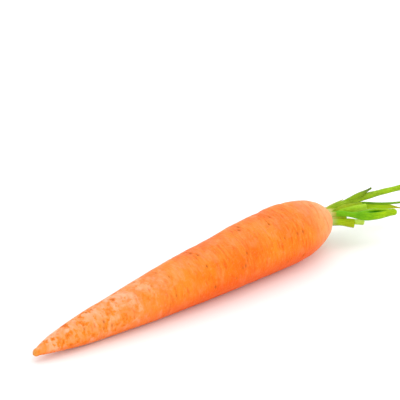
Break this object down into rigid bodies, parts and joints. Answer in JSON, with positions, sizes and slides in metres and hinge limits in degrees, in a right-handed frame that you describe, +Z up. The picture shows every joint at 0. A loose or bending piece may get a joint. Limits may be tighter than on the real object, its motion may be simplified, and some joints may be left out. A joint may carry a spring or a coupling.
{
  "type": "carrot",
  "caption": "Tapered orange carrot lying on its side, with a blunt tip, a rounded crown and short cut green leaf stalks.",
  "frame": {"origin": "On the ground, under the middle of the whole carrot's bounding box.", "axes": "+Z up. The root lies along X, with its tip at -X and its crown and leaf stalks at +X."},
  "size_m": [0.2752, 0.0436, 0.0361],
  "materials": {
    "root_skin": "soft sheen, fine cross furrows and paler rubbed skin",
    "stalk_green": "satin, fine lengthwise ribs",
    "stalk_bright": "satin, fine lengthwise ribs",
    "stalk_olive": "satin, drying at the end",
    "stalk_pale": "satin, pale fresh cut",
    "sheath_dry": "dry, thin and papery"
  },
  "bodies": {
    "root": {"taproot": "root_skin", "petiole_forked": "stalk_green", "petiole_channelled": "stalk_bright", "petiole_low_stub": "stalk_olive", "petiole_under": "stalk_olive", "petiole_far_low": "stalk_olive", "petiole_far_side": "stalk_green", "leaf_sheath": "sheath_dry", "petiole_broad_cut": "stalk_green", "petiole_low_pale": "stalk_pale", "petiole_dry_tip": "stalk_olive", "petiole_thin": "stalk_green", "heart_shoot": "stalk_pale"}
  },
  "joints": []
}
